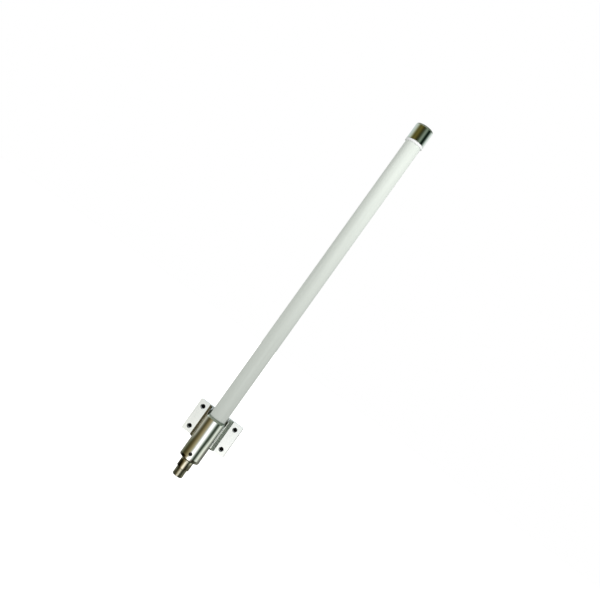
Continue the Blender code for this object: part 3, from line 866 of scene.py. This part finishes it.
class ANTENNA_OT_rim_seal(bpy.types.Operator):
    """Build the bead of sealant where the radome enters the base tube"""

    bl_idname = "antenna.rim_seal"
    bl_label = "Rim seal"

    def execute(self, context):
        bottom, top = low("rim_seal").z, high("rim_seal").z
        outer = radius_of("rim_seal")
        bore = radius_of("radome_tube") + FIT_GAP
        profile = arc((bore, bottom), (outer - bore, top - bottom), 0, 90, 8)
        profile += [(bore, bottom)]
        piece = link("seal", turned_mesh("seal", profile), sealant())
        keep(piece, "rim_silicone", "rim_seal")
        return {"FINISHED"}


class ANTENNA_OT_bracket(bpy.types.Operator):
    """Build the saddle bracket with its cheeks, wings and mast holes"""

    bl_idname = "antenna.bracket"
    bl_label = "Bracket"

    def execute(self, context):
        settings = context.scene.antenna_bracket
        bottom, top = low("saddle_bracket").z, high("saddle_bracket").z
        half = high("saddle_bracket").x
        seat = radius_of("base_tube") + FIT_GAP
        foot, tip = seat + settings.foot, seat + settings.tip
        left = [(-half, 0), (-half, -settings.wing), (-foot, -settings.wing), (-tip, AXIS_Y)]
        outline = left + arc((0, AXIS_Y), (seat, seat), 180, 0, ROUND_SEGMENTS // 2)
        outline += [(-x, y) for x, y in reversed(left)]
        bracket = link("bracket", prism_mesh(
            "bracket", [(x, y, bottom) for x, y in outline], (0, 0, top - bottom)))
        hole = rod(settings.hole / 2, -half, half)
        shapes = [
            turned_mesh("mast_hole", hole, SMALL_SEGMENTS, backward(middle(node).x, middle(node).z))
            for node in HOLE_SHADE_PLUGS
        ]
        for end, up in ((top, 1), (bottom, -1)):
            points = corner((AXIS_Y, end), (1, -up), settings.end_radius)
            shapes.append(prism_mesh(
                "cheek_round", [(-2 * half, y, z) for y, z in points], (4 * half, 0, 0)))
            for out in (-1, 1):
                points = corner((out * half, end), (-out, -up), settings.corner_radius)
                shapes.append(prism_mesh(
                    "wing_round", [(x, half, z) for x, z in points], (0, -2 * half, 0)))
        shapes += [countersink(node, AXIS_Y) for node in BRACKET_SCREWS]
        cut(bracket, shapes)
        break_edges(bracket, settings.edge)
        front, inside = -settings.wing - settings.edge, seat + settings.edge / 2
        # Painted shade for the left cheek, and the right cheek's own tone.
        cheeks = (settings.left_cheek_shade, settings.right_cheek)
        coat(bracket, satin_aluminium(settings.colour, cheeks, front, inside))
        keep(bracket, "bracket_aluminium", "saddle_bracket")
        return {"FINISHED"}


def corner(at, inward, radius):
    """What a rounded corner takes away, with an overhang past the two faces it joins."""
    centre = (at[0] + inward[0] * radius, at[1] + inward[1] * radius)
    radii = (-inward[0] * radius, -inward[1] * radius)
    return arc(centre, radii, 0, 90, 12) + [
        (centre[0], at[1] - inward[1] * radius),
        (at[0] - inward[0] * radius, at[1] - inward[1] * radius),
        (at[0] - inward[0] * radius, centre[1]),
    ]


def countersink(node, end):
    """The hole of a bracket screw, from the back face through the web."""
    head = radius_of(node) + FIT_GAP
    depth, overhang = 0.0023, 0.004
    profile = [
        (0, end), (SCREW_HOLE, end), (SCREW_HOLE, -depth), (head, 0), (head, overhang),
        (0, overhang),
    ]
    return turned_mesh("countersink", profile, SMALL_SEGMENTS, backward(0, middle(node).z))


class ANTENNA_OT_set_screws(bpy.types.Operator):
    """Build the set screws with hexagon sockets, evenly round the base tube"""

    bl_idname = "antenna.set_screws"
    bl_label = "Set screws"

    def execute(self, context):
        settings = context.scene.antenna_fasteners
        front, left, right = (f"set_screw_{side}" for side in ("front", "left", "right"))
        radius, socket = radius_of(front), settings.socket / 2
        inner, outer = AXIS_Y - high(front).y, AXIS_Y - low(front).y
        edge, rim = radius * 0.16, 0.0002
        floor = outer - 0.0022
        profile = [
            (0, inner), (radius - edge, inner), (radius, inner + edge),
            (radius, outer - edge), (radius - edge, outer), (socket + rim, outer, 6),
            (socket, outer - rim, 6), (socket, floor, 6), (0, floor - 2 * rim),
        ]
        place = outward(-90, middle(front).z)
        screws = link("set_screws", turned_mesh("set_screws", profile, HEX_SEGMENTS, place))
        run_tree(screws, ring_tree(), {
            "Count": settings.set_screws, "Axis Y": AXIS_Y, "Material": black_oxide(),
        })
        keep(screws, "screw_dark_steel", front, left, right)
        return {"FINISHED"}


class ANTENNA_OT_bracket_screws(bpy.types.Operator):
    """Build the countersunk screws with hexagon sockets, their heads at the back face"""

    bl_idname = "antenna.bracket_screws"
    bl_label = "Bracket screws"

    def execute(self, context):
        lower, upper = BRACKET_SCREWS
        socket = context.scene.antenna_fasteners.socket / 2
        head, top, point = radius_of(lower), high(lower).y, low(lower).y
        shank, head_depth, rim = 0.002, 0.002, 0.0002
        floor, floor_middle = top - 0.0013, top - 0.0016
        profile = [
            (0, point), (shank - rim, point), (shank, point + rim), (shank, top - head_depth),
            (head, top - rim), (head - rim / 2, top), (socket + rim, top, 6),
            (socket, top - rim, 6), (socket, floor, 6), (0, floor_middle),
        ]
        screw = turned_mesh("bracket_screws", profile, HEX_SEGMENTS, backward(0, 0))
        screws = link("bracket_screws", screw)
        heights = [middle(node).z for node in BRACKET_SCREWS]
        run_tree(screws, rows_tree(), {
            "Across": 0.0, "Along": heights[1] - heights[0], "Columns": 1, "Rows": 2,
            "Centre Z": sum(heights) / 2, "Material": black_oxide(),
        })
        keep(screws, "screw_dark_steel", lower, upper)
        return {"FINISHED"}


class ANTENNA_OT_hole_shade_plugs(bpy.types.Operator):
    """Build black discs in the mast holes as painted shade, with soft rims and dished faces"""

    bl_idname = "antenna.hole_plugs"
    bl_label = "Hole plugs"

    def execute(self, context):
        radius = context.scene.antenna_bracket.hole / 2 - FIT_GAP
        top, bottom = high(HOLE_SHADE_PLUGS[0]).y, low(HOLE_SHADE_PLUGS[0]).y
        edge, dish = 0.0003, radius * 0.7
        profile = [(0, bottom + edge), (dish, bottom + edge * 0.6)]
        profile += fillet((radius, bottom), edge, -90, 4)
        profile += fillet((radius, top), edge, 0, 4)
        profile += [(dish, top - edge * 0.6), (0, top - edge)]
        plug = turned_mesh("mast_hole_shade_plugs", profile, SMALL_SEGMENTS, backward(0, 0))
        plugs = link("mast_hole_shade_plugs", plug)
        corner_hole = middle("hole_plug_top_right")
        # Painted shade: the black rubber discs stand in the holes for the shade behind them.
        run_tree(plugs, rows_tree(), {
            "Across": 2 * corner_hole.x, "Along": 2 * corner_hole.z,
            "Columns": 2, "Rows": 2, "Centre Z": 0.0, "Material": black_rubber(),
        })
        keep(plugs, "black_rubber", *HOLE_SHADE_PLUGS)
        return {"FINISHED"}


class ANTENNA_OT_jack_shell(bpy.types.Operator):
    """Build the coaxial jack's shell, with close rings where its thread is pressed in"""

    bl_idname = "antenna.jack_shell"
    bl_label = "Jack shell"

    def execute(self, context):
        settings = context.scene.antenna_jack
        shell = link("jack_shell", turned_mesh("jack_shell", self.profile(settings), 96))
        mouth, lead_in = low("connector_shell").z, 0.0004
        run_tree(shell, thread_tree(), {
            "Pitch": settings.pitch, "Depth": settings.depth,
            "Bottom": mouth + lead_in, "Top": mouth + settings.thread_length,
            "Root radius": settings.thread_radius - 2 * settings.depth, "Axis Y": AXIS_Y,
            "Material": polished_metal("jack_polished_nickel", settings.colour, 0.04, 0.25),
        })
        shell.data.set_sharp_from_angle(angle=THREAD_SMOOTH_LIMIT)
        keep(shell, "jack_nickel", "connector_shell")
        return {"FINISHED"}

    def profile(self, settings):
        """From the mouth up the thread, shoulder, rear and ferrule, and down the bores."""
        bottom, top = low("connector_shell").z, high("connector_shell").z
        shoulder = radius_of("connector_shell")
        thread, bore, rear = settings.thread_radius, settings.mouth_bore, settings.rear_radius
        edge, bevel = 0.0004, settings.mouth_bevel
        start = bottom + settings.thread_length
        seat = low("jack_gasket").z - FIT_GAP
        rear_top = high("jack_nut").z + 0.001
        rear_floor, step = rear_top - 0.0008, bottom + BORE_STEP
        ferrule, ferrule_bore, rear_bore = 0.0029, 0.0021, 0.0033
        rings = int(settings.thread_length / settings.pitch * 12)
        profile = fillet((bore, bottom), edge, 180, 4)
        profile += [(thread - bevel, bottom)]
        profile += arc((thread - bevel, bottom + bevel), (bevel, bevel), -70, 0, 6)
        profile += [(thread, height) for height in levels(bottom + bevel, start, rings)]
        profile += [(thread, start)]
        profile += fillet((shoulder, start), edge, -90, 5)
        profile += [(shoulder, height) for height in levels(start + edge, seat - edge, 4)]
        profile += fillet((shoulder, seat), edge, 0, 5)
        profile += [(rear, seat), (rear, rear_top), (ferrule, rear_top), (ferrule, top)]
        profile += [(ferrule_bore, top), (ferrule_bore, rear_floor)]
        profile += [(rear_bore, rear_floor), (rear_bore, step), (bore, step)]
        return profile


class ANTENNA_OT_jack_contact(bpy.types.Operator):
    """Build the jack's gold-plated centre contact, with four slots in its socket end"""

    bl_idname = "antenna.jack_contact"
    bl_label = "Jack contact"

    def execute(self, context):
        bottom, top = low("jack_contact").z, high("jack_contact").z
        radius = radius_of("jack_contact")
        socket, rear, cup = 0.00085, 0.0011, 0.00075
        socket_top, cup_floor = bottom + 0.005, top - 0.003
        step = low("connector_shell").z + BORE_STEP - FIT_GAP
        edge = 0.0003
        profile = [(socket + edge / 2, bottom)]
        profile += fillet((radius, bottom), edge, -90, 4)
        profile += [(radius, step), (rear, step), (rear, top), (cup, top), (cup, cup_floor)]
        profile += [(0, cup_floor), (0, socket_top), (socket, socket_top)]
        profile += [(socket, bottom + edge)]
        contact = link("contact", turned_mesh("contact", profile, HEX_SEGMENTS))
        cut(contact, [self.slot(bottom, radius, turn) for turn in (0, 90)])
        coat(contact, drawn_metal("contact_gold", (0.83, 0.62, 0.25), 0.18))
        keep(contact, "radiator_brass", "jack_contact")
        return {"FINISHED"}

    def slot(self, bottom, radius, turn):
        """A thin saw cut, right across the socket end."""
        width, length = 0.0003, 0.007
        bm = bmesh.new()
        bmesh.ops.create_cube(bm, size=1, matrix=Matrix.Diagonal((radius * 4, width, length, 1)))
        spin = Matrix.Rotation(math.radians(turn), 4, "Z")
        bmesh.ops.transform(bm, matrix=on_axis(bottom) @ spin, verts=bm.verts)
        return smooth_mesh("slot", bm)


class ANTENNA_OT_jack_gasket(bpy.types.Operator):
    """Build the rubber ring under the base plug, bulging a little where it is squeezed"""

    bl_idname = "antenna.jack_gasket"
    bl_label = "Jack gasket"

    def execute(self, context):
        bottom, top = low("jack_gasket").z, high("jack_gasket").z
        outer, bore = radius_of("jack_gasket"), 0.0053
        half = (top - bottom) / 2
        profile = arc((outer - half, bottom + half), (half, half), -90, 90, 8)
        profile += [(bore, top), (bore, bottom)]
        gasket = link("gasket", turned_mesh("gasket", profile, SMALL_SEGMENTS), black_rubber())
        keep(gasket, "black_rubber", "jack_gasket")
        return {"FINISHED"}


class ANTENNA_OT_inner_parts(bpy.types.Operator):
    """Give the pieces inside the radome and the base their finishes"""

    bl_idname = "antenna.inner_parts"
    bl_label = "Inner parts"

    def execute(self, context):
        brass = drawn_metal("radiator_drawn_brass", (0.78, 0.58, 0.26), 0.28)
        copper = drawn_metal("feed_line_copper", (0.80, 0.42, 0.26), 0.3)
        ptfe = white_plastic("natural_ptfe", (0.86, 0.86, 0.84), 900, 0.45)
        foam = white_plastic("closed_cell_foam", (0.82, 0.82, 0.80), 300, 0.95)
        nickel = polished_metal("nut_nickel", context.scene.antenna_jack.colour, 0.15)
        finishes = {
            "dipole": brass, "coax_core": copper, "coax_section": copper,
            "coax_dielectric": ptfe, "feed_spacer": ptfe, "jack_insulator": ptfe,
            "top_support": ptfe, "centring_disc": foam, "jack_nut": nickel,
            "jack_washer": black_oxide(), "cap_gasket": black_rubber(),
            "base_plug": drawn_metal("plug_turned_aluminium", (0.85, 0.85, 0.84), 0.3),
        }
        for name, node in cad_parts.items():
            for start, finish in finishes.items():
                if name.startswith(start):
                    coat(node, finish)
        return {"FINISHED"}


# The stage


ROOM_FLOOR = [
    (-180, (0.03, 0.04, 0.03)), (-60, (0.03, 0.035, 0.02)), (60, (0.025, 0.03, 0.02)),
    (180, (0.03, 0.04, 0.03)),
]
ROOM_JACK = [
    (-180, (0.15, 0.15, 0.12)), (-116, (0.11, 0.11, 0.09)), (-88, (0.001, 0.001, 0.0)),
    (-62, (0.003, 0.002, 0.0)), (-43, (0.045, 0.03, 0.006)), (-24, (0.42, 0.36, 0.24)),
    (-6, (1.75, 1.7, 1.55)), (14, (1.75, 1.75, 1.7)), (31, (0.3, 0.28, 0.24)),
    (48, (0.015, 0.013, 0.006)), (70, (0.05, 0.05, 0.03)), (92, (0.12, 0.12, 0.09)),
    (120, (0.22, 0.22, 0.18)), (180, (0.15, 0.15, 0.12)),
]
ROOM_LOW = [
    (-180, (0.28, 0.28, 0.25)), (-122, (0.2, 0.21, 0.15)), (-101, (0.09, 0.095, 0.05)),
    (-78, (0.05, 0.045, 0.015)), (-57, (0.11, 0.09, 0.035)), (-33, (0.31, 0.27, 0.14)),
    (-20, (0.41, 0.38, 0.24)), (-11, (0.58, 0.6, 0.56)), (-1, (1.16, 1.18, 1.16)),
    (8, (1.38, 1.4, 1.4)), (22, (1.15, 1.18, 1.15)), (31, (0.58, 0.63, 0.58)),
    (41, (0.1, 0.13, 0.1)), (52, (0.028, 0.043, 0.024)), (60, (0.07, 0.09, 0.07)),
    (70, (0.45, 0.5, 0.42)), (80, (0.84, 0.9, 0.78)), (94, (0.9, 0.94, 0.84)),
    (107, (0.4, 0.41, 0.35)), (124, (0.16, 0.165, 0.14)), (150, (0.2, 0.2, 0.18)),
    (180, (0.28, 0.28, 0.25)),
]
ROOM_MIDDLE = [
    (-180, (0.22, 0.24, 0.2)), (-125, (0.5, 0.5, 0.41)), (-103, (0.43, 0.43, 0.36)),
    (-86, (0.16, 0.16, 0.11)), (-71, (0.08, 0.07, 0.035)), (-58, (0.1, 0.085, 0.035)),
    (-46, (0.2, 0.165, 0.08)), (-34, (0.31, 0.26, 0.14)), (-20, (0.38, 0.34, 0.22)),
    (-11, (0.58, 0.6, 0.56)), (-1, (1.16, 1.18, 1.16)), (8, (1.38, 1.4, 1.4)),
    (23, (1.1, 1.14, 1.12)), (33, (0.54, 0.6, 0.56)), (43, (0.13, 0.165, 0.13)),
    (55, (0.028, 0.043, 0.025)), (67, (0.09, 0.11, 0.085)), (80, (0.5, 0.56, 0.48)),
    (92, (0.92, 0.98, 0.88)), (108, (0.48, 0.52, 0.45)), (130, (0.15, 0.17, 0.14)),
    (180, (0.22, 0.24, 0.2)),
]
ROOM_HIGH = [
    (-180, (0.75, 0.8, 0.8)), (-150, (0.7, 0.76, 0.76)), (-112, (0.55, 0.64, 0.6)),
    (-92, (0.5, 0.56, 0.47)), (-79, (0.33, 0.35, 0.24)), (-62, (0.12, 0.115, 0.04)),
    (-47, (0.1, 0.09, 0.02)), (-33, (0.125, 0.11, 0.026)), (-20, (0.09, 0.08, 0.018)),
    (-8, (0.05, 0.045, 0.012)), (4, (0.037, 0.042, 0.016)), (14, (0.05, 0.065, 0.036)),
    (26, (0.13, 0.165, 0.12)), (38, (0.21, 0.26, 0.205)), (48, (0.16, 0.21, 0.16)),
    (59, (0.035, 0.06, 0.04)), (69, (0.003, 0.009, 0.005)), (83, (0.005, 0.013, 0.008)),
    (95, (0.09, 0.12, 0.1)), (109, (0.35, 0.42, 0.38)), (128, (0.72, 0.8, 0.75)),
    (156, (0.9, 0.93, 0.92)), (180, (0.75, 0.8, 0.8)),
]
ROOM_CEILING = [
    (-180, (0.22, 0.24, 0.2)), (-60, (0.26, 0.29, 0.23)), (10, (0.26, 0.3, 0.24)),
    (60, (0.2, 0.24, 0.19)), (110, (0.12, 0.16, 0.12)), (180, (0.14, 0.16, 0.13)),
]
ROOM_ZENITH = [
    (-180, (0.5, 0.52, 0.5)), (-90, (0.06, 0.06, 0.04)), (90, (0.03, 0.04, 0.03)),
    (180, (0.5, 0.52, 0.5)),
]
# Each band of the room with the heights between which it takes over from the one below it
ROOM = [
    (ROOM_JACK, -0.8, -0.7), (ROOM_LOW, -0.217, -0.213), (ROOM_MIDDLE, -0.19, -0.18),
    (ROOM_HIGH, -0.03, 0.05), (ROOM_CEILING, 0.36, 0.44), (ROOM_ZENITH, 0.91, 0.95),
]


class ANTENNA_OT_stage(bpy.types.Operator):
    """Set up the camera, the soft light and the pale floor"""

    bl_idname = "antenna.stage"
    bl_label = "Stage"

    def execute(self, context):
        settings = context.scene.antenna_stage
        context.scene.view_settings.view_transform = "Standard"
        self.camera(context, settings)
        self.floor(settings)
        self.room(context)
        self.key_light()
        return {"FINISHED"}

    def camera(self, context, settings):
        """The camera, level with the antenna's middle and rolled so that it leans."""
        turn, lift = settings.azimuth, settings.elevation
        back = Vector((
            math.sin(turn) * math.cos(lift), -math.cos(turn) * math.cos(lift), math.sin(lift),
        ))
        along = (Vector((0, 0, 1)) - back * back.z).normalized()
        side = along.cross(back)
        right = side * math.cos(settings.roll) + along * math.sin(settings.roll)
        up = along * math.cos(settings.roll) - side * math.sin(settings.roll)
        aim = Vector((0, AXIS_Y, settings.aim_height)) - side * settings.aim_side
        place = Matrix((right, up, back)).transposed().to_4x4()
        place.translation = aim + back * settings.distance
        data = bpy.data.cameras.new("camera")
        data.lens = settings.lens
        data.clip_end = 50
        camera = bpy.data.objects.new("camera", data)
        camera.matrix_world = place
        context.scene.collection.objects.link(camera)
        context.scene.camera = camera

    def floor(self, settings):
        """A wide pale floor, bright enough to run into the backdrop."""
        bm = bmesh.new()
        bmesh.ops.create_circle(bm, cap_ends=True, segments=64, radius=30)
        bmesh.ops.translate(bm, verts=bm.verts, vec=(0, 0, settings.floor_height))
        finish = new_material("pale_floor", (0.9, 0.9, 0.9), 0.0, 1.0)
        shader = finish.node_tree.nodes["Principled BSDF"]
        shader.inputs["Emission Color"].default_value = (1, 1, 1, 1)
        shader.inputs["Emission Strength"].default_value = 1.0
        floor = link("floor", smooth_mesh("floor", bm), finish)
        floor.visible_glossy = False
        floor.visible_diffuse = False
        floor.visible_shadow = False

    def room(self, context):
        """A white backdrop, with the softboxes and dark walls that the metal mirrors."""
        world = bpy.data.worlds.new("studio")
        world.use_nodes = True
        context.scene.world = world
        tree = world.node_tree
        tree.nodes.clear()
        direction = tree.nodes.new("ShaderNodeTexCoord").outputs["Generated"]
        parts = add_node(tree, "ShaderNodeSeparateXYZ", None, {0: direction})
        x, y, z = parts.outputs
        facing = math_node(tree, "ARCTAN2", x, math_node(tree, "MULTIPLY", y, -1.0))
        turn = math_node(tree, "MULTIPLY_ADD", facing, 0.5 / math.pi, 0.5)
        colour = self.band(tree, turn, ROOM_FLOOR)
        for stops, start, end in ROOM:
            rise = range_node(tree, z, start, end)
            colour = blend(tree, rise, colour, self.band(tree, turn, stops))
        left_fill, right_fill = 0.66, 0.45
        side_light = range_node(tree, x, -1.0, 1.0, left_fill, right_fill)
        path = tree.nodes.new("ShaderNodeLightPath")
        soft = add_node(tree, "ShaderNodeCombineXYZ", None, {axis: side_light for axis in "XYZ"})
        colour = blend(tree, path.outputs["Is Diffuse Ray"], colour, soft.outputs[0])
        colour = blend(tree, path.outputs["Is Camera Ray"], colour, (1, 1, 1))
        shown = add_node(tree, "ShaderNodeBackground", None, {"Color": colour, "Strength": 1.0})
        output = tree.nodes.new("ShaderNodeOutputWorld")
        tree.links.new(shown.outputs[0], output.inputs["Surface"])

    def band(self, tree, turn, stops):
        """The colours right round the room at one height, from behind by the left to behind."""
        ramp = tree.nodes.new("ShaderNodeValToRGB")
        tree.links.new(turn, ramp.inputs[0])
        elements = ramp.color_ramp.elements
        elements[0].position, elements[1].position = 0.0, 1.0
        elements[0].color, elements[1].color = (*stops[0][1], 1), (*stops[-1][1], 1)
        for degrees, colour in stops[1:-1]:
            elements.new((degrees + 180) / 360).color = (*colour, 1)
        return ramp.outputs[0]

    def key_light(self):
        """One large soft light from the upper right, seen only by the matt pieces."""
        data = bpy.data.lights.new("key", "AREA")
        data.size = 0.25
        data.energy = 0.9
        light = bpy.data.objects.new("key", data)
        light.location = (0.25, -0.31, 0.52)
        aim = Vector((0, AXIS_Y, 0.42)) - light.location
        light.rotation_euler = aim.to_track_quat("-Z", "Y").to_euler()
        light.visible_glossy = False
        light.visible_camera = False
        bpy.context.scene.collection.objects.link(light)


# Registration


class ANTENNA_PT_panel(bpy.types.Panel):
    """The antenna's settings and build steps"""

    bl_label = "Antenna"
    bl_idname = "ANTENNA_PT_panel"
    bl_space_type = "VIEW_3D"
    bl_region_type = "UI"
    bl_category = "Antenna"

    def draw(self, context):
        for name, group in SETTINGS.items():
            box = self.layout.box()
            settings = getattr(context.scene, name)
            for field in group.__annotations__:
                box.prop(settings, field)
        for operator in OPERATORS:
            self.layout.operator(operator.bl_idname)


SETTINGS = {
    "antenna_radome": RadomeSettings,
    "antenna_cap": CapSettings,
    "antenna_base": BaseSettings,
    "antenna_bracket": BracketSettings,
    "antenna_jack": JackSettings,
    "antenna_fasteners": FastenerSettings,
    "antenna_stage": StageSettings,
}
OPERATORS = (
    ANTENNA_OT_stage,
    ANTENNA_OT_radome,
    ANTENNA_OT_top_cap,
    ANTENNA_OT_cap_ring,
    ANTENNA_OT_base_tube,
    ANTENNA_OT_rim_seal,
    ANTENNA_OT_bracket,
    ANTENNA_OT_set_screws,
    ANTENNA_OT_bracket_screws,
    ANTENNA_OT_hole_shade_plugs,
    ANTENNA_OT_jack_shell,
    ANTENNA_OT_jack_contact,
    ANTENNA_OT_jack_gasket,
    ANTENNA_OT_inner_parts,
)


def register():
    for item in (*SETTINGS.values(), *OPERATORS, ANTENNA_PT_panel):
        bpy.utils.register_class(item)
    for name, group in SETTINGS.items():
        setattr(bpy.types.Scene, name, PointerProperty(type=group))


def unregister():
    for name in SETTINGS:
        delattr(bpy.types.Scene, name)
    for item in (ANTENNA_PT_panel, *reversed(OPERATORS), *reversed(SETTINGS.values())):
        bpy.utils.unregister_class(item)


def main():
    register()
    bpy.ops.antenna.stage()
    bpy.ops.antenna.radome()
    bpy.ops.antenna.top_cap()
    bpy.ops.antenna.cap_ring()
    bpy.ops.antenna.base_tube()
    bpy.ops.antenna.rim_seal()
    bpy.ops.antenna.bracket()
    bpy.ops.antenna.set_screws()
    bpy.ops.antenna.bracket_screws()
    bpy.ops.antenna.hole_plugs()
    bpy.ops.antenna.jack_shell()
    bpy.ops.antenna.jack_contact()
    bpy.ops.antenna.jack_gasket()
    bpy.ops.antenna.inner_parts()


if __name__ == "__main__":
    main()
